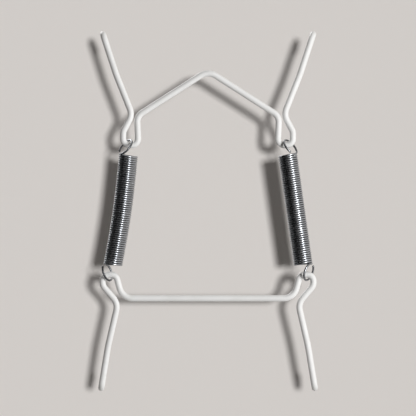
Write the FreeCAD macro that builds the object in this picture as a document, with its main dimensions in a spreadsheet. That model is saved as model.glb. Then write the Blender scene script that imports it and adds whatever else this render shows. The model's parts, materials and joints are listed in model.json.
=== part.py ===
import FreeCAD, Part
import math
import os
from FreeCAD import Placement, Rotation, Vector

# Wire plate hanger, in millimetres, +Z up, +X right, +Y towards the plate and -Y towards the wall.
# Two bent and coated wires, an upper and a lower frame, are drawn together by two tension springs.
# The origin is the underside of the peak of the upper frame, where it hangs on its nail.

document = FreeCAD.newDocument("wire_plate_hanger")

# Driving dimensions: straight runs are measured between bends, bends to the middle of the wire
SIZES = [
    ("wire_diameter", 1.8, "coated wire of both frames"),
    ("peak_bend_radius", 4.2, "bend of the peak"),
    ("slope_angle", 32.6, "fall of the slopes from the peak, degrees"),
    ("slope_run", 19.9, "straight run of a slope"),
    ("shoulder_bend_radius", 3.2, "bend from a slope into its loop"),
    ("top_leg_run", 4.6, "inner leg of an upper loop"),
    ("top_leg_lean", 2.5, "inner leg of an upper loop, leaning in as it falls, degrees"),
    ("bar_half_run", 21.8, "straight half of the crossbar"),
    ("bar_bend_radius", 4.0, "bend from the crossbar into its loop"),
    ("bottom_leg_run", 2.6, "inner leg of a lower loop"),
    ("bottom_leg_lean", 15.0, "inner leg of a lower loop, leaning out as it rises, degrees"),
    ("loop_bend_radius", 1.9, "the two bends at the closed end of a loop"),
    ("loop_run", 0.5, "straight run at the closed end of a loop"),
    ("top_outer_leg_run", 1.4, "outer leg of an upper loop"),
    ("bottom_outer_leg_run", 0.3, "outer leg of a lower loop"),
    ("neck_bend_radius", 2.6, "bend between the outer leg of a loop and its neck"),
    ("top_neck_angle", 28.0, "upper neck, leaning in as it rises, degrees"),
    ("top_neck_run", 3.0, "straight run of an upper neck"),
    ("bottom_neck_angle", 40.5, "lower neck, leaning in as it falls, degrees"),
    ("bottom_neck_run", 3.8, "straight run of a lower neck"),
    ("elbow_bend_radius", 4.0, "bend from a neck into its arm"),
    ("top_arm_angle", 20.0, "upper arm, spreading as it rises, degrees"),
    ("bottom_arm_angle", 11.2, "lower arm, spreading as it falls, degrees"),
    ("arm_lean", 11.3, "lean of an arm towards the plate, degrees"),
    ("arm_bow_angle", 1.8, "bow of an arm to each side of its mean line, degrees"),
    ("arm_bow_radius", 40.0, "bend at the middle of an arm"),
    ("arm_half_run", 9.6, "straight run on each side of the middle of an arm"),
    ("hook_bend_radius", 2.3, "bend of a hook over the rim of the plate"),
    ("hook_turn", 108.0, "turn of a hook from its arm, degrees"),
    ("hook_run", 5.9, "straight end of a hook, without its rounded tip"),
    ("spring_wire", 0.6, "wire of the springs"),
    ("coil_diameter", 5.0, "coils, to the middle of their wire"),
    ("coil_pitch", 0.63, "from one coil to the next, nearly touching"),
    ("coil_turns", 51, "whole turns of a spring"),
    ("eye_arc", 310.0, "wire of an end eye, degrees of its round"),
    ("eye_gap", 0.45, "room between an eye and the wire that it holds"),
    ("top_eye_lean", 30.0, "lean of an upper eye over its coil, degrees"),
    ("bottom_eye_lean", 24.0, "lean of a lower eye over its coil, degrees"),
    ("top_eye_turn", 28.0, "upper eye, turned from the outer side, degrees"),
    ("bottom_eye_turn", 30.0, "lower eye, turned from the outer side, degrees"),
    ("top_eye_seat", 22.0, "place of an upper eye round the bend of its loop, degrees"),
    ("bottom_eye_seat", 10.0, "place of a lower eye round the bend of its loop, degrees"),
]
sheet = document.addObject("Spreadsheet::Sheet", "sizes")
for row, (alias, value, meaning) in enumerate(SIZES, start=1):
    sheet.set("A%d" % row, alias)
    sheet.set("B%d" % row, str(value))
    sheet.set("C%d" % row, meaning)
    sheet.setAlias("B%d" % row, alias)
document.recompute()

SIDE = Vector(1, 0, 0)
PLATE = Vector(0, 1, 0)
UP = Vector(0, 0, 1)
DOWN = Vector(0, 0, -1)
SETTLING_STEPS = 30


def size(alias):
    """A driving dimension, read from the sheet."""
    return float(sheet.get(alias))


def unit(vector):
    return vector * (1 / vector.Length)


def turned(vector, axis, degrees):
    """A direction turned about an axis by the right-hand rule."""
    return Rotation(axis, degrees).multVec(vector)


def heading(degrees):
    """A direction in the plane of the frames, turned from straight up to the right."""
    return turned(UP, PLATE, degrees)


WIRE_RADIUS = size("wire_diameter") / 2
COIL_RADIUS = size("coil_diameter") / 2


def bent_wire(start, runs, radii):
    """Edges of straight runs (direction, length) joined by tangent bends, and the end of each run."""
    edges = []
    ends = []
    here = start
    for number, (direction, length) in enumerate(runs):
        end = here + direction * length
        if length > 0:
            edges.append(Part.LineSegment(here, end).toShape())
        ends.append(end)
        if number < len(radii):
            onward = runs[number + 1][0]
            radius = radii[number]
            half_turn = direction.getAngle(onward) / 2
            corner = end + direction * (radius * math.tan(half_turn))
            inward = unit(onward - direction)
            middle = corner + inward * (radius / math.cos(half_turn) - radius)
            here = corner + onward * (radius * math.tan(half_turn))
            edges.append(Part.Arc(end, middle, here).toShape())
    return edges, ends


def both_halves(edges):
    """A path from one end of a frame to the other, from the edges of its right half."""
    left = Part.Wire(edges).mirror(Vector(0, 0, 0), SIDE)
    return Part.Wire(Part.__sortEdges__(left.Edges + edges))


def arm_runs(mean_direction, outward_turn):
    """The two runs of a bowed arm and the end of its hook, with the bends between them."""
    bow = outward_turn * size("arm_bow_angle")
    runs = []
    for turn in (bow, -bow):
        flat = turned(mean_direction, PLATE, turn)
        direction = turned(flat, flat.cross(PLATE), size("arm_lean"))
        runs.append((direction, size("arm_half_run")))
    hook_end = turned(direction, direction.cross(PLATE), size("hook_turn"))
    runs.append((hook_end, size("hook_run")))
    return runs, [size("arm_bow_radius"), size("hook_bend_radius")]


def loop_seat(run_end, degrees, mouth):
    """A point round the outer bend of a loop on the right, and mouth is the way that the loop opens."""
    radius = size("loop_bend_radius")
    angle = math.radians(degrees)
    return run_end + SIDE * (radius * math.sin(angle)) + mouth * (radius * (1 - math.cos(angle)))


# Upper frame: right half, from the top of the peak to the tip of its hook
arm, arm_radii = arm_runs(heading(size("top_arm_angle")), 1)
top_runs = [
    (SIDE, 0),
    (heading(90 + size("slope_angle")), size("slope_run")),
    (heading(180 + size("top_leg_lean")), size("top_leg_run")),
    (SIDE, size("loop_run")),
    (UP, size("top_outer_leg_run")),
    (heading(-size("top_neck_angle")), size("top_neck_run")),
] + arm
top_radii = [
    size("peak_bend_radius"),
    size("shoulder_bend_radius"),
    size("loop_bend_radius"),
    size("loop_bend_radius"),
    size("neck_bend_radius"),
    size("elbow_bend_radius"),
] + arm_radii
top_edges, top_ends = bent_wire(UP * WIRE_RADIUS, top_runs, top_radii)
top_seat = loop_seat(top_ends[3], size("top_eye_seat"), UP)

# Lower frame: the same from the middle of the crossbar, at first with the crossbar at no height
arm, arm_radii = arm_runs(heading(180 - size("bottom_arm_angle")), -1)
bottom_runs = [
    (SIDE, size("bar_half_run")),
    (heading(size("bottom_leg_lean")), size("bottom_leg_run")),
    (SIDE, size("loop_run")),
    (DOWN, size("bottom_outer_leg_run")),
    (heading(180 + size("bottom_neck_angle")), size("bottom_neck_run")),
] + arm
bottom_radii = [
    size("bar_bend_radius"),
    size("loop_bend_radius"),
    size("loop_bend_radius"),
    size("neck_bend_radius"),
    size("elbow_bend_radius"),
] + arm_radii
bottom_edges, bottom_ends = bent_wire(Vector(0, 0, 0), bottom_runs, bottom_radii)
bottom_seat = loop_seat(bottom_ends[2], size("bottom_eye_seat"), DOWN)


class Spring:
    """Where a spring lies between its two seats. Its side is 1 on the right and -1 on the left."""

    def __init__(self, side, top_turn, bottom_turn):
        self.outer = SIDE * side
        self.top_turn = top_turn
        self.bottom_turn = bottom_turn
        part_turn = (top_turn - bottom_turn) % 360
        self.half_turns = 2 * int(size("coil_turns")) + int(part_turn // 180)
        self.last_arc = math.radians(part_turn % 180)
        self.rise = size("coil_pitch") / 2
        self.length = self.half_turns * self.rise + self.rise / 2 * (1 - math.cos(self.last_arc))
        self.axis = UP
        for _ in range(SETTLING_STEPS):
            reached = self.lie(side)
            miss = Vector(reached.x - side * bottom_seat.x, reached.y, 0)
            self.axis = unit(self.axis + miss * (1 / self.length))
        self.lower_seat = self.lie(side)

    def eye(self, turn, lean, end):
        """Where an eye leaves the coils, from their axis, and the way that it stands."""
        outward = unit(self.outer - self.axis * self.outer.dot(self.axis))
        leaves = turned(outward, self.axis, turn)
        stands = turned(end, end.cross(leaves * -1), lean)
        return leaves, stands

    def lie(self, side):
        """Hangs the coils from the upper seat, and gives the point that the lower eye then holds."""
        self.top_leaves, self.top_stands = self.eye(self.top_turn, size("top_eye_lean"), self.axis)
        self.bottom_leaves, self.bottom_stands = self.eye(
            self.bottom_turn, size("bottom_eye_lean"), self.axis * -1)
        held = WIRE_RADIUS + size("eye_gap") + size("spring_wire") / 2
        reach = 2 * COIL_RADIUS - held
        seat = Vector(side * top_seat.x, top_seat.y, top_seat.z)
        self.top = seat - self.top_leaves * COIL_RADIUS - self.top_stands * reach
        bottom = self.top - self.axis * self.length
        return bottom + self.bottom_leaves * COIL_RADIUS + self.bottom_stands * reach

    def path(self):
        """An eye, coils of tilted half circles that join smoothly, and the other eye."""
        edges = [self.eye_edge(self.top + self.top_leaves * COIL_RADIUS,
                               self.axis.cross(self.top_leaves), self.top_stands)]
        outward = self.top_leaves
        centre = self.top - self.axis * (self.rise / 2)
        for step in range(self.half_turns + 1):
            angle = math.pi if step < self.half_turns else self.last_arc
            spoke = outward * COIL_RADIUS + self.axis * (self.rise / 2)
            along = unit(spoke.cross(self.axis)) * spoke.Length
            points = [centre + spoke * math.cos(turn) + along * math.sin(turn)
                      for turn in (0, angle / 2, angle)]
            if angle > 0:
                edges.append(Part.Arc(*points).toShape())
                last_point = points[2]
                last_direction = unit(along * math.cos(angle) - spoke * math.sin(angle))
            outward = outward * -1
            centre = centre - self.axis * self.rise
        edges.append(self.eye_edge(last_point, last_direction, self.bottom_stands))
        return Part.Wire(Part.__sortEdges__(edges))

    def eye_edge(self, start, along, stands):
        """Most of a circle that leaves the coils along their wire, and stands up from them."""
        across = unit(stands - along * stands.dot(along))
        points = []
        for share in (0, 0.5, 1):
            angle = math.radians(size("eye_arc")) * share
            points.append(start + along * (COIL_RADIUS * math.sin(angle))
                          + across * (COIL_RADIUS * (1 - math.cos(angle))))
        return Part.Arc(*points).toShape()


right = Spring(1, -size("top_eye_turn"), -size("bottom_eye_turn"))
left = Spring(-1, size("top_eye_turn"), -size("bottom_eye_turn"))
bar_height = right.lower_seat.z - bottom_seat.z
bottom_edges, bottom_ends = bent_wire(UP * bar_height, bottom_runs, bottom_radii)


def swept_wire(name, path, diameter):
    """A round wire along a path, with its section bound to the sheet."""
    spine = document.addObject("Part::Feature", name + "_path")
    spine.Shape = path
    start = path.OrderedVertexes[0].Point
    first = path.OrderedEdges[0]
    section = document.addObject("Part::Circle", name + "_section")
    section.setExpression("Radius", "sizes.%s / 2" % diameter)
    section.Placement = Placement(start, Rotation(UP, first.tangentAt(first.Curve.parameter(start))))
    sweep = document.addObject("Part::Sweep", name + "_sweep")
    sweep.Sections = [section]
    sweep.Spine = (spine, ["Edge%d" % number for number in range(1, len(path.Edges) + 1)])
    sweep.Solid = True
    sweep.Frenet = False
    return sweep


def frame_wire(name, edges, tip):
    """One bent frame wire with rounded tips, the other tip mirrored from the one on the right."""
    parts = [swept_wire(name, both_halves(edges), "wire_diameter")]
    for side, place in (("right", tip), ("left", Vector(-tip.x, tip.y, tip.z))):
        ball = document.addObject("Part::Sphere", "%s_%s_tip" % (name, side))
        ball.setExpression("Radius", "sizes.wire_diameter / 2")
        ball.Placement = Placement(place, Rotation())
        parts.append(ball)
    wire = document.addObject("Part::MultiFuse", name)
    wire.Shapes = parts
    wire.Refine = True
    return wire


pieces = {
    "top_wire": frame_wire("top_wire", top_edges, top_ends[-1]),
    "bottom_wire": frame_wire("bottom_wire", bottom_edges, bottom_ends[-1]),
    "left_spring": swept_wire("left_spring", left.path(), "spring_wire"),
    "right_spring": swept_wire("right_spring", right.path(), "spring_wire"),
}
for label, piece in pieces.items():
    piece.Label = label
document.recompute()

# Every object has to be sound before anything is written
for item in document.Objects:
    if "Invalid" in item.State or "Error" in item.State:
        raise RuntimeError("%s failed: %s" % (item.Name, item.State))
for label, piece in pieces.items():
    if piece.Shape.isNull() or not piece.Shape.isValid():
        raise RuntimeError("%s has no sound shape" % label)

os.makedirs("parts", exist_ok=True)
for label, piece in pieces.items():
    piece.Shape.exportStep("parts/%s.step" % label)
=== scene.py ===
import json
import math

import bpy
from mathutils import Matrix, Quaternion, Vector
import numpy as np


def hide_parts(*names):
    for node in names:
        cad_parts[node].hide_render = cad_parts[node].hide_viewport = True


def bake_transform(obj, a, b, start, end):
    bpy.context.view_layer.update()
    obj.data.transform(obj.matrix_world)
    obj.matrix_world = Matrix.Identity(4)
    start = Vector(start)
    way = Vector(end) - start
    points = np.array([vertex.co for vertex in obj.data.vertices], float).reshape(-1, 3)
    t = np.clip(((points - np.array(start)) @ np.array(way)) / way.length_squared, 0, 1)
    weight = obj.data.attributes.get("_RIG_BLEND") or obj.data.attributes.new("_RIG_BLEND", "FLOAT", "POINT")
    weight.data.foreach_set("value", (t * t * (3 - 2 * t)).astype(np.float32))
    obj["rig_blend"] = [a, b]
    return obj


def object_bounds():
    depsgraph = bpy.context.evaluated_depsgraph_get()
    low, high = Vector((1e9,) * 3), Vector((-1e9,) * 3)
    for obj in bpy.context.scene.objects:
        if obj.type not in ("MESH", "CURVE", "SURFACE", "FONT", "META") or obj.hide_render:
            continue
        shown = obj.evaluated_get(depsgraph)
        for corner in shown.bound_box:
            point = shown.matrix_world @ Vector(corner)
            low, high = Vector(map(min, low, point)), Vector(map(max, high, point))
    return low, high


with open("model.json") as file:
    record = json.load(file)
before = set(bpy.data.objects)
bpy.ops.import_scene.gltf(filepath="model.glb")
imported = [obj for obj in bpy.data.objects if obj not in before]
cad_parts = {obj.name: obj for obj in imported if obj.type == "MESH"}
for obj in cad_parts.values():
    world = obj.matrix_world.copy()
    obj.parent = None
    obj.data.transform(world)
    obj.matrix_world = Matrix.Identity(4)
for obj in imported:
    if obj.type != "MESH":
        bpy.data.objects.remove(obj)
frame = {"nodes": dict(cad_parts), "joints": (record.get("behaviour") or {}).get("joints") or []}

# Looks of a wire plate hanger: white coated frames and bright springs, in metres, seen from the wall side
CAD_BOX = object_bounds()
MM = 0.001
SIDE = Vector((1, 0, 0))
FRONT = Vector((0, -1, 0))
UP = Vector((0, 0, 1))
JOINTS = {joint["name"]: joint for joint in frame["joints"]}

# Wire of the frames, and the loops that the eyes of the springs hold
FRAME_WIRE_RADIUS = 0.9 * MM
LOOP_BEND_RADIUS = 1.9 * MM
UPPER_LOOP_X = 22.698 * MM
UPPER_LOOP_Z = JOINTS["upper_eye_swing"]["pos_m"][2]
LOWER_LOOP_X = 28.672 * MM
LOWER_LOOP_Z = JOINTS["lower_eye_swing"]["pos_m"][2]

# Springs: coils, end eyes and how the eyes stand, with angles in degrees
SPRING_WIRE_RADIUS = 0.3 * MM
COIL_RADIUS = 2.5 * MM
COIL_PITCH = 0.63 * MM
COIL_TURNS = 51
EYE_ARC = 310
EYE_GAP = 0.45 * MM
TOP_EYE_LEAN = 30
BOTTOM_EYE_LEAN = 24
TOP_EYE_TURN = 28
BOTTOM_EYE_TURN = 30
TOP_EYE_SEAT = 22
BOTTOM_EYE_SEAT = 10
SETTLING_STEPS = 30

# Play of the coils: the bow of the left spring, and how far and how fast the coils wander off their line
LEFT_SPRING_BOW = 0.5 * MM
COIL_WANDER = 0.02 * MM
WANDER_OUT_RATE = 2.2
WANDER_ACROSS_RATE = 1.3
WANDER_ACROSS_START = 1

# Fineness of the spring meshes
WIRE_SIDES = 14
STEPS_PER_TURN = 40
EYE_STEPS = 44
END_CHAMFER = 0.1 * MM
SIDE_FACE_CORNERS = 4


def turned(vector, axis, degrees):
    """A direction turned about an axis by the right-hand rule."""
    return Quaternion(axis, math.radians(degrees)) @ vector


def square_to(vector, along):
    """The direction of a vector, square to another direction."""
    return (vector - along * vector.dot(along)).normalized()


def loop_seat(x, z, degrees, mouth):
    """A point round the outer bend of a loop on the right, and mouth is the way that the loop opens."""
    angle = math.radians(degrees)
    across = SIDE * (x + LOOP_BEND_RADIUS * math.sin(angle))
    return across + UP * (z + mouth * LOOP_BEND_RADIUS * (1 - math.cos(angle)))


TOP_SEAT = loop_seat(UPPER_LOOP_X, UPPER_LOOP_Z, TOP_EYE_SEAT, 1)
BOTTOM_SEAT = loop_seat(LOWER_LOOP_X, LOWER_LOOP_Z, BOTTOM_EYE_SEAT, -1)


class Spring:
    """The line of a spring between its two seats. Its side is 1 on the right and -1 on the left."""

    def __init__(self, side, top_turn, bottom_turn, bow):
        self.side = side
        self.top_turn = top_turn
        self.bottom_turn = bottom_turn
        self.bow = bow
        self.winding = 360 * COIL_TURNS + (top_turn - bottom_turn) % 360
        self.length = self.fall(self.winding)
        self.axis = UP
        for _ in range(SETTLING_STEPS):
            reached = self.hang()
            miss = Vector((reached.x - side * BOTTOM_SEAT.x, reached.y, 0))
            self.axis = (self.axis + miss / self.length).normalized()
        self.hang()
        self.bottom = self.top - self.axis * self.length

    def fall(self, degrees):
        """How far the wire has come down after so much winding.

        It falls in half turns that are flat where they join.
        """
        halves = int(degrees // 180)
        rest = math.radians(degrees - 180 * halves)
        return COIL_PITCH / 2 * (halves + (1 - math.cos(rest)) / 2)

    def eye(self, turn, lean, end):
        """Where an eye leaves the coils, from their axis, and the way that it stands."""
        leaves = turned(square_to(SIDE * self.side, self.axis), self.axis, turn)
        stands = turned(end, end.cross(-leaves), lean)
        return leaves, stands

    def hang(self):
        """Hangs the coils from the upper seat, and gives the point that the lower eye then holds."""
        self.top_leaves, self.top_stands = self.eye(self.top_turn, TOP_EYE_LEAN, self.axis)
        self.bottom_leaves, self.bottom_stands = self.eye(self.bottom_turn, BOTTOM_EYE_LEAN, -self.axis)
        reach = 2 * COIL_RADIUS - FRAME_WIRE_RADIUS - EYE_GAP - SPRING_WIRE_RADIUS
        seat = Vector((self.side * TOP_SEAT.x, TOP_SEAT.y, TOP_SEAT.z))
        self.top = seat - self.top_leaves * COIL_RADIUS - self.top_stands * reach
        bottom = self.top - self.axis * self.length
        return bottom + self.bottom_leaves * COIL_RADIUS + self.bottom_stands * reach

    def spoke(self, degrees):
        """The way out from the axis of the coils after so much winding."""
        return turned(self.top_leaves, self.axis, -degrees)

    def coil_point(self, degrees):
        """A point of the coils, which bow to the right between the ends and lie a little unevenly."""
        across = self.top_leaves.cross(self.axis)
        bow = SIDE * (self.bow * math.sin(math.pi * degrees / self.winding))
        turns = degrees / 360
        ends = min(1, turns, self.winding / 360 - turns)
        wander = (self.top_leaves * math.sin(WANDER_OUT_RATE * turns)
                  + across * math.sin(WANDER_ACROSS_RATE * turns + WANDER_ACROSS_START))
        return (self.top + self.spoke(degrees) * COIL_RADIUS - self.axis * self.fall(degrees)
                + bow + wander * (COIL_WANDER * ends))

    def eye_points(self, start, along, stands):
        """Points of an eye from the coils to its free end."""
        across = square_to(stands, along)
        points = []
        for step in range(1, EYE_STEPS + 1):
            angle = math.radians(EYE_ARC * step / EYE_STEPS)
            points.append(start + along * (COIL_RADIUS * math.sin(angle))
                          + across * (COIL_RADIUS * (1 - math.cos(angle))))
        return points

    def line(self):
        """Points from one free end to the other, the way out at each point of the coils, and shares.

        A share is how far its point goes along when the spring stretches.
        """
        steps = int(STEPS_PER_TURN * self.winding / 360)
        coils = [self.coil_point(self.winding * step / steps) for step in range(steps + 1)]
        spokes = [self.spoke(self.winding * step / steps) for step in range(steps + 1)]
        upper = self.eye_points(coils[0], self.axis.cross(self.top_leaves), self.top_stands)
        lower = self.eye_points(coils[-1], self.bottom_leaves.cross(self.axis), self.bottom_stands)
        points = upper[::-1] + coils + lower
        coil_shares = [step / steps for step in range(steps + 1)]
        shares = [0.0] * len(upper) + coil_shares + [1.0] * len(lower)
        return points, spokes, shares


def wire_rings(points, spokes):
    """A ring of corners about each point. On the coils its first corner looks out from their axis."""
    count = len(points)
    alongs = []
    for n in range(count):
        before, after = points[max(n - 1, 0)], points[min(n + 1, count - 1)]
        alongs.append((after - before).normalized())
    firsts = [None] * count
    for n, spoke in enumerate(spokes, EYE_STEPS):
        firsts[n] = square_to(spoke, alongs[n])
    for n in reversed(range(EYE_STEPS)):
        firsts[n] = square_to(firsts[n + 1], alongs[n])
    for n in range(count - EYE_STEPS, count):
        firsts[n] = square_to(firsts[n - 1], alongs[n])
    angles = [2 * math.pi * corner / WIRE_SIDES for corner in range(WIRE_SIDES)]
    rings = []
    for point, along, first in zip(points, alongs, firsts):
        beside = along.cross(first)
        ring = [first * math.cos(angle) + beside * math.sin(angle) for angle in angles]
        rings.append((point, along, ring))
    return rings


def lay_out_wire(mesh, points):
    """Texture coordinates: round the wire across, and the run of the wire in millimetres along."""
    run = [0.0]
    for before, after in zip(points, points[1:]):
        run.append(run[-1] + (after - before).length / MM)
    run = [0.0] + run + [run[-1]]
    layer = mesh.uv_layers.new(name="wire")
    for polygon in mesh.polygons:
        sides = [mesh.loops[loop].vertex_index % WIRE_SIDES for loop in polygon.loop_indices]
        wraps = max(sides) - min(sides) > WIRE_SIDES / 2
        for loop, side in zip(polygon.loop_indices, sides):
            station = mesh.loops[loop].vertex_index // WIRE_SIDES
            turn = side + WIRE_SIDES if wraps and side == 0 else side
            layer.data[loop].uv = (turn / WIRE_SIDES, run[station])


# The least painted shade on the eyes, on the same scale as the shade between the coils
EYE_LEAST_SHADE = 0.6


def mark_painted_shade(mesh):
    """A mask of painted shade: how far each corner of the coils looks to the next coil, from 0 on the
    outside to 1 where the coils meet.

    The eyes get a little painted shade all round, and more on the edges of their rings.
    """
    stations = len(mesh.vertices) // WIRE_SIDES
    depth = []
    for station in range(stations):
        # Between the coils the painted shade follows the corners, and on the eyes it never falls below its
        # least
        on_coils = EYE_STEPS < station < stations - EYE_STEPS - 1
        for corner in range(WIRE_SIDES):
            across = abs(math.sin(2 * math.pi * corner / WIRE_SIDES))
            depth.append(across if on_coils else max(across, EYE_LEAST_SHADE))
    mesh.attributes.new("painted_shade_mask", "FLOAT", "POINT").data.foreach_set("value", depth)


def spring_mesh(name, points, spokes, shares):
    """A round wire along the points with chamfered ends, and the share of each of its corners."""
    rings = wire_rings(points, spokes)
    first, last = rings[0], rings[-1]
    end_radius = SPRING_WIRE_RADIUS - END_CHAMFER
    stations = [(first[0] - first[1] * END_CHAMFER, first[2], end_radius)]
    stations += [(point, ring, SPRING_WIRE_RADIUS) for point, _, ring in rings]
    stations.append((last[0] + last[1] * END_CHAMFER, last[2], end_radius))
    station_shares = [shares[0]] + shares + [shares[-1]]
    corners = [point + spoke * radius for point, ring, radius in stations for spoke in ring]
    faces = []
    for station in range(len(stations) - 1):
        base = station * WIRE_SIDES
        for side in range(WIRE_SIDES):
            other = (side + 1) % WIRE_SIDES
            faces.append((base + side, base + other, base + WIRE_SIDES + other, base + WIRE_SIDES + side))
    end = (len(stations) - 1) * WIRE_SIDES
    faces.append(tuple(reversed(range(WIRE_SIDES))))
    faces.append(tuple(range(end, end + WIRE_SIDES)))
    mesh = bpy.data.meshes.new(name)
    mesh.from_pydata(corners, [], faces)
    for polygon in mesh.polygons:
        polygon.use_smooth = len(polygon.vertices) == SIDE_FACE_CORNERS
    lay_out_wire(mesh, points)
    # The mask of the painted shade between the coils and on the eyes
    mark_painted_shade(mesh)
    return mesh, [share for share in station_shares for _ in range(WIRE_SIDES)]


def add_spring(name, node, spring, material):
    """A spring that stands for its node and opens between the bodies of its upper and lower eyes."""
    points, spokes, shares = spring.line()
    mesh, corner_shares = spring_mesh(name, points, spokes, shares)
    mesh.materials.append(material)
    piece = bpy.data.objects.new(name, mesh)
    bpy.context.scene.collection.objects.link(piece)
    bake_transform(piece, "spring_tops", "spring_bottoms", start=spring.top, end=spring.bottom)
    # Each ring of the wire goes along as a whole, so the coils part evenly and the wire stays round
    mesh.attributes["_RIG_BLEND"].data.foreach_set("value", corner_shares)
    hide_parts(node)
    return piece


def add_node(tree, kind, settings=None, **values):
    """A shader node with its settings, and its inputs set or linked by name."""
    made = tree.nodes.new(kind)
    for key, value in (settings or {}).items():
        setattr(made, key, value)
    for name, value in values.items():
        socket = made.inputs[name.replace("_", " ")]
        if isinstance(value, bpy.types.NodeSocket):
            tree.links.new(value, socket)
        else:
            socket.default_value = value
    return made


def noise(tree, place, grain):
    """Noise over a place, with its grain as (scale, detail)."""
    scale, detail = grain
    made = add_node(tree, "ShaderNodeTexNoise", Vector=place, Scale=scale, Detail=detail)
    return made.outputs["Fac"]


def ramp(tree, factor, edges, colours):
    """A colour that goes from one to another between two edges of a factor."""
    made = add_node(tree, "ShaderNodeValToRGB", Fac=factor)
    for element, edge, colour in zip(made.color_ramp.elements, edges, colours):
        element.position = edge
        element.color = (*colour, 1)
    return made.outputs["Color"]


# Sockets of a mix node that takes colours
MIX_FIRST = 6
MIX_SECOND = 7
MIX_RESULT = 2


def mixed_colour(tree, factor, first, second):
    """A linked colour mixed with a plain one."""
    made = add_node(tree, "ShaderNodeMix", {"data_type": "RGBA"}, Factor=factor)
    tree.links.new(first, made.inputs[MIX_FIRST])
    made.inputs[MIX_SECOND].default_value = (*second, 1)
    return made.outputs[MIX_RESULT]


def spread(tree, value, low, high):
    """A value from 0 to 1 spread between two others."""
    made = add_node(tree, "ShaderNodeMapRange", Value=value, To_Min=low, To_Max=high)
    return made.outputs["Result"]


def combined(tree, operation, first, second):
    """Two linked values put together by an operation."""
    made = add_node(tree, "ShaderNodeMath", {"operation": operation})
    tree.links.new(first, made.inputs[0])
    tree.links.new(second, made.inputs[1])
    return made.outputs["Value"]


def add_bump(tree, surface, height, bump):
    """Bump on a surface from a height, as (strength, distance)."""
    strength, distance = bump
    made = add_node(tree, "ShaderNodeBump", Height=height, Strength=strength, Distance=distance)
    tree.links.new(made.outputs["Normal"], surface.inputs["Normal"])


def new_material(name):
    """A material, its nodes and the shader of its surface."""
    material = bpy.data.materials.new(name)
    material.use_nodes = True
    return material, material.node_tree, material.node_tree.nodes["Principled BSDF"]


# White coating of the frames, with noise as (scale, detail) and bump as (strength, distance)
COATING_LIGHT = (0.92, 0.92, 0.91)
COATING_DULL = (0.87, 0.87, 0.855)
COATING_RUBBED = (0.5, 0.5, 0.5)
COATING_CLOUDS = (240, 3.0)
COATING_CLOUD_EDGES = (0.3, 0.6)
COATING_ROUGHNESS = (0.6, 0.46)
COATING_PEEL = (1500, 2.0)
COATING_BUMP = (0.15, 0.02 * MM)
COATING_IOR = 1.5
RUB_REACH = 2.0 * MM
RUB_DEPTH = 0.45
RUB_SPECKS = (2600, 2.0)
RUB_SPECK_LOW = 0.42
RUB_SPECK_HIGH = 0.65


def rub_marks(tree, place):
    """Faint grey specks where the eyes of the springs rub on the loops, the same on both sides."""
    half = add_node(tree, "ShaderNodeVectorMath", {"operation": "ABSOLUTE"})
    tree.links.new(place, half.inputs[0])
    marks = []
    for seat in (TOP_SEAT, BOTTOM_SEAT):
        away = add_node(tree, "ShaderNodeVectorMath", {"operation": "DISTANCE"})
        tree.links.new(half.outputs["Vector"], away.inputs[0])
        away.inputs[1].default_value = [abs(part) for part in seat]
        near = add_node(tree, "ShaderNodeMapRange", Value=away.outputs["Value"], From_Max=RUB_REACH,
                        To_Min=RUB_DEPTH, To_Max=0.0)
        marks.append(near.outputs["Result"])
    specks = add_node(tree, "ShaderNodeMapRange", Value=noise(tree, place, RUB_SPECKS),
                      From_Min=RUB_SPECK_LOW, From_Max=RUB_SPECK_HIGH)
    return combined(tree, "MULTIPLY", combined(tree, "MAXIMUM", *marks), specks.outputs["Result"])


def coated_wire_material():
    """White coating, a little cloudy, with the fine waviness of a dipped skin."""
    material, tree, surface = new_material("white_coating")
    place = add_node(tree, "ShaderNodeTexCoord").outputs["Object"]
    clouds = noise(tree, place, COATING_CLOUDS)
    colour = ramp(tree, clouds, COATING_CLOUD_EDGES, (COATING_DULL, COATING_LIGHT))
    rubbed = mixed_colour(tree, rub_marks(tree, place), colour, COATING_RUBBED)
    tree.links.new(rubbed, surface.inputs["Base Color"])
    tree.links.new(spread(tree, clouds, *COATING_ROUGHNESS), surface.inputs["Roughness"])
    add_bump(tree, surface, noise(tree, place, COATING_PEEL), COATING_BUMP)
    surface.inputs["IOR"].default_value = COATING_IOR
    return material


# Plated wire of the springs, with noise as (scale, detail) and bump as (strength, distance)
STEEL_DARK = (0.4, 0.421, 0.45)
STEEL_LIGHT = (0.53, 0.556, 0.592)
STEEL_PATCHES = (420, 2.0)
STEEL_PATCH_EDGES = (0.32, 0.68)
STEEL_ROUGHNESS = (0.22, 0.32)
DRAWING_STRETCH = (14, 0.35, 1)
DRAWING_GRAIN = (1.0, 3.0)
DRAWING_BUMP = (0.1, 0.01 * MM)
# Painted shade between the coils and on the eyes: its colour, where it starts on the mask, and its most
GROOVE_SHADE_COLOUR = (0.03, 0.03, 0.032)
GROOVE_SHADE_START = 0.35
GROOVE_SHADE_MOST = 0.9


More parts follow.
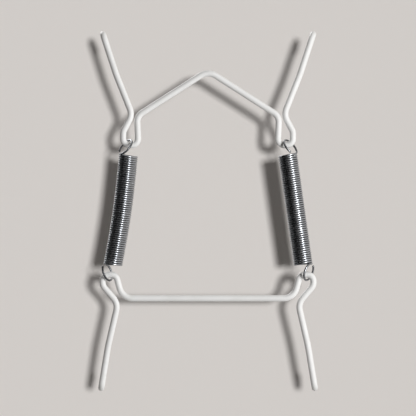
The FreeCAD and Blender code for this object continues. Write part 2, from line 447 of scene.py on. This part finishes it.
def spring_wire_material():
    """Bright plated wire with drawing marks along it, duller stretches, and painted shade between the coils
    and on the eyes.
    """
    material, tree, surface = new_material("plated_spring_wire")
    layout = add_node(tree, "ShaderNodeUVMap", {"uv_map": "wire"}).outputs["UV"]
    stretched = add_node(tree, "ShaderNodeMapping", Vector=layout, Scale=DRAWING_STRETCH)
    drawing = noise(tree, stretched.outputs["Vector"], DRAWING_GRAIN)
    place = add_node(tree, "ShaderNodeTexCoord").outputs["Object"]
    patches = noise(tree, place, STEEL_PATCHES)
    colour = ramp(tree, patches, STEEL_PATCH_EDGES, (STEEL_DARK, STEEL_LIGHT))
    # Painted shade: the wire is mixed towards a dark colour between the coils and on the eyes
    painted_shade_mask = add_node(tree, "ShaderNodeAttribute", {"attribute_name": "painted_shade_mask"}).outputs["Fac"]
    shade_amount = add_node(tree, "ShaderNodeMapRange", Value=painted_shade_mask, From_Min=GROOVE_SHADE_START, To_Max=GROOVE_SHADE_MOST)
    shaded_colour = mixed_colour(tree, shade_amount.outputs["Result"], colour, GROOVE_SHADE_COLOUR)
    tree.links.new(shaded_colour, surface.inputs["Base Color"])
    tree.links.new(spread(tree, drawing, *STEEL_ROUGHNESS), surface.inputs["Roughness"])
    add_bump(tree, surface, drawing, DRAWING_BUMP)
    surface.inputs["Metallic"].default_value = 1.0
    return material


# Springs in bright wire
spring_wire = spring_wire_material()
left = Spring(-1, TOP_EYE_TURN, -BOTTOM_EYE_TURN, LEFT_SPRING_BOW)
right = Spring(1, -TOP_EYE_TURN, -BOTTOM_EYE_TURN, 0)
left_coils = add_spring("left_spring_coils", "left_spring", left, spring_wire)
right_coils = add_spring("right_spring_coils", "right_spring", right, spring_wire)

# Frames in white coating
coated_wire = coated_wire_material()
coated_pieces = [frame["nodes"][node] for node in ("top_wire", "bottom_wire")]
for piece in coated_pieces:
    piece.data.materials.clear()
    piece.data.materials.append(coated_wire)


# Stage: a pale wall behind the reach of the swinging frames, and a floor, both seen from the front only
STAGE_COLOUR = (0.79, 0.755, 0.725)
STAGE_ROUGHNESS = 0.9
STAGE_REACH = 3.0
WALL_GAP = 66 * MM
FLOOR_DROP = 0.5
WALL_Y = CAD_BOX[1].y + WALL_GAP
FLOOR_Z = CAD_BOX[0].z - FLOOR_DROP


def stage_material():
    """Matt paint on the front side, and nothing on the back, so that the part shows from behind too."""
    material, tree, surface = new_material("stage_paint")
    surface.inputs["Base Color"].default_value = (*STAGE_COLOUR, 1)
    surface.inputs["Roughness"].default_value = STAGE_ROUGHNESS
    clear = add_node(tree, "ShaderNodeBsdfTransparent")
    back = add_node(tree, "ShaderNodeNewGeometry").outputs["Backfacing"]
    choice = add_node(tree, "ShaderNodeMixShader")
    for socket, source in zip(choice.inputs, (back, surface.outputs["BSDF"], clear.outputs["BSDF"])):
        tree.links.new(source, socket)
    tree.links.new(choice.outputs["Shader"], tree.nodes["Material Output"].inputs["Surface"])
    return material


def add_panel(name, corners, material):
    """A flat panel of the stage, whose front is the side where its corners run counter-clockwise."""
    mesh = bpy.data.meshes.new(name)
    mesh.from_pydata(corners, [], [(0, 1, 2, 3)])
    mesh.materials.append(material)
    panel = bpy.data.objects.new(name, mesh)
    bpy.context.scene.collection.objects.link(panel)
    return panel


stage_paint = stage_material()
wall = add_panel("wall", [
    (-STAGE_REACH, WALL_Y, FLOOR_Z),
    (STAGE_REACH, WALL_Y, FLOOR_Z),
    (STAGE_REACH, WALL_Y, STAGE_REACH),
    (-STAGE_REACH, WALL_Y, STAGE_REACH),
], stage_paint)
floor = add_panel("floor", [
    (-STAGE_REACH, -STAGE_REACH, FLOOR_Z),
    (STAGE_REACH, -STAGE_REACH, FLOOR_Z),
    (STAGE_REACH, WALL_Y, FLOOR_Z),
    (-STAGE_REACH, WALL_Y, FLOOR_Z),
], stage_paint)
# The floor throws no light back, so the shadows on the wall stay deep
floor.visible_diffuse = False
# The wall lets the lamp behind it through
wall.visible_shadow = False

# Cards to the left of the camera and below, which show only as reflections in the bright metal
CARD_LINE = [(0.07, -0.45), (-0.45, -0.45), (-0.45, 0.0), (-0.08, 0.07)]
CARD_FLOOR = [(0.07, -0.45), (-0.45, -0.45), (-0.45, 0.01), (0.07, 0.01)]
CARD_TOP = 0.8
CARD_BOTTOM = FLOOR_Z + 1 * MM
CARD_DARK = (0.03, 0.03, 0.03)
CARD_GREY = (0.13, 0.13, 0.13)
CARD_ROUGHNESS = 1.0


def card_material(name, colour):
    """A matt card of one colour."""
    material, _, surface = new_material(name)
    surface.inputs["Base Color"].default_value = (*colour, 1)
    surface.inputs["Roughness"].default_value = CARD_ROUGHNESS
    return material


def add_cards():
    """Cards that stand on a line and close it below. The last on the line is grey, and is returned."""
    dark = card_material("dark_card", CARD_DARK)
    grey = card_material("grey_card", CARD_GREY)
    leaves = [([(*corner, CARD_BOTTOM) for corner in CARD_FLOOR], dark)]
    for start, end in zip(CARD_LINE, CARD_LINE[1:]):
        corners = [(*start, CARD_BOTTOM), (*end, CARD_BOTTOM), (*end, CARD_TOP), (*start, CARD_TOP)]
        leaves.append((corners, grey if end == CARD_LINE[-1] else dark))
    for number, (corners, material) in enumerate(leaves):
        card = add_panel("card_%d" % number, corners, material)
        card.visible_camera = False
        card.visible_diffuse = False
        card.visible_shadow = False
    return card


grey_card = add_cards()

# Light: soft lamps for the part from the right and from behind, distant ones for the stage, a pale surround
MIDDLE = (CAD_BOX[0] + CAD_BOX[1]) / 2
LAMP_DISTANCE = 1.0
KEY_AZIMUTH = 39
LEFT_KEY_AZIMUTH = 22
KEY_HEIGHT = 1
KEY_SIZE = (0.17, 1.2)
KEY_POWER = 10.2
LEFT_KEY_POWER = 6.5
BACK_AZIMUTH = 207
BACK_HEIGHT = 32
BACK_SIZE = (0.3, 0.3)
BACK_POWER = 5.5
WALL_AZIMUTH = 3.3
WALL_HEIGHT = 0.8
WALL_STRENGTH = 2.14
FLOOR_AZIMUTH = 0
FLOOR_HEIGHT = 80
FLOOR_STRENGTH = 1.43
STAGE_LIGHT_SPREAD = 2.0
SURROUND_COLOUR = (1.0, 0.965, 0.935)
SURROUND_LIGHT = 0.11
SURROUND_SHOWN = 0.615


def place_lamp(lamp, azimuth, height, lit):
    """A lamp aimed at the part, which lights only some objects.

    It stands so many degrees to the right of the front, and so many above it.
    """
    holder = bpy.data.objects.new(lamp.name, lamp)
    bpy.context.scene.collection.objects.link(holder)
    away = turned(turned(FRONT, SIDE, -height), UP, azimuth)
    holder.location = MIDDLE + away * LAMP_DISTANCE
    holder.rotation_mode = "QUATERNION"
    holder.rotation_quaternion = away.to_track_quat("Z", "Y")
    holder.visible_camera = False
    group = bpy.data.collections.new("lit_by_" + lamp.name)
    for piece in lit:
        group.objects.link(piece)
    holder.light_linking.receiver_collection = group


def add_soft_lamp(name, azimuth, height, size, power, pieces):
    """A soft lamp for pieces of the part."""
    lamp = bpy.data.lights.new(name, "AREA")
    lamp.shape = "ELLIPSE"
    lamp.size, lamp.size_y = size
    lamp.energy = power
    place_lamp(lamp, azimuth, height, pieces)


def add_stage_light(name, azimuth, height, strength, panels):
    """A distant lamp for panels of the stage."""
    lamp = bpy.data.lights.new(name, "SUN")
    lamp.angle = math.radians(STAGE_LIGHT_SPREAD)
    lamp.energy = strength
    place_lamp(lamp, azimuth, height, panels)


def add_surround():
    """A surround that lights softly, and shows pale to the camera and in the metal."""
    world = bpy.data.worlds.new("surround")
    world.use_nodes = True
    tree = world.node_tree
    background = tree.nodes["Background"]
    background.inputs["Color"].default_value = (*SURROUND_COLOUR, 1)
    path = add_node(tree, "ShaderNodeLightPath").outputs
    shown = combined(tree, "MAXIMUM", path["Is Camera Ray"], path["Is Glossy Ray"])
    shown = combined(tree, "MAXIMUM", shown, path["Is Transmission Ray"])
    strength = spread(tree, shown, SURROUND_LIGHT, SURROUND_SHOWN)
    tree.links.new(strength, background.inputs["Strength"])
    bpy.context.scene.world = world


all_pieces = [left_coils, right_coils, *coated_pieces]
add_soft_lamp("key", KEY_AZIMUTH, KEY_HEIGHT, KEY_SIZE, KEY_POWER, [right_coils, *coated_pieces])
add_soft_lamp("left_key", LEFT_KEY_AZIMUTH, KEY_HEIGHT, KEY_SIZE, LEFT_KEY_POWER, [left_coils])
add_soft_lamp("back", BACK_AZIMUTH, BACK_HEIGHT, BACK_SIZE, BACK_POWER, all_pieces)
add_stage_light("wall_light", WALL_AZIMUTH, WALL_HEIGHT, WALL_STRENGTH, [wall, grey_card])
add_stage_light("floor_light", FLOOR_AZIMUTH, FLOOR_HEIGHT, FLOOR_STRENGTH, [floor])
add_surround()

# Camera: straight at the wall side, with the frame of the photograph at the plane of the wires
FRAME_WIDTH = 120.6 * MM
CAMERA_DISTANCE = 3.0
CAMERA_Z = -38.1 * MM
SENSOR_WIDTH = 36.0


def add_camera():
    """A camera at the front, level and in the middle."""
    data = bpy.data.cameras.new("camera")
    data.sensor_width = SENSOR_WIDTH
    data.lens = SENSOR_WIDTH * CAMERA_DISTANCE / FRAME_WIDTH
    camera = bpy.data.objects.new("camera", data)
    bpy.context.scene.collection.objects.link(camera)
    camera.location = FRONT * CAMERA_DISTANCE + UP * CAMERA_Z
    camera.rotation_euler = (math.radians(90), 0, 0)
    bpy.context.scene.camera = camera


add_camera()
bpy.context.scene.view_settings.view_transform = "Standard"
